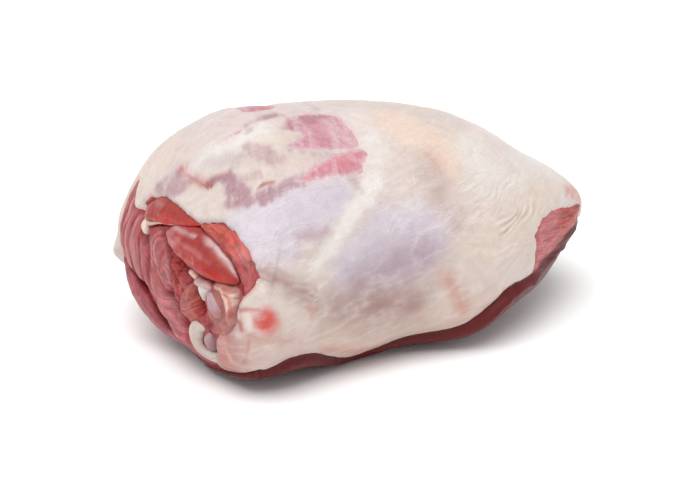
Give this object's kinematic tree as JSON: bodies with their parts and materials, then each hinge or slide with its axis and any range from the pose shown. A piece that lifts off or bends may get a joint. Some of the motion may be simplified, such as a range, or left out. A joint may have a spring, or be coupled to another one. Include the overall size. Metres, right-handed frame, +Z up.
{
  "type": "raw leg of lamb",
  "caption": "Raw leg of lamb lying on its side, with the broad cut end open and the bone ends showing, under a pale cover of fat.",
  "frame": {"origin": "on the resting surface, under the middle of the whole leg's box", "axes": "+X along the leg from the broad cut end to the shank end, +Y from the rounded front to the back, +Z up"},
  "size_m": [0.2291, 0.1622, 0.1088],
  "materials": {
    "meat_and_fat": "raw lamb: cream and lilac fat cover over red meat, moist satin",
    "bone": "fresh bone and gristle, lilac-white, moist"
  },
  "bodies": {
    "root": {"leg_meat": "meat_and_fat", "thigh_bone": "bone", "hip_bone": "bone"}
  },
  "joints": []
}
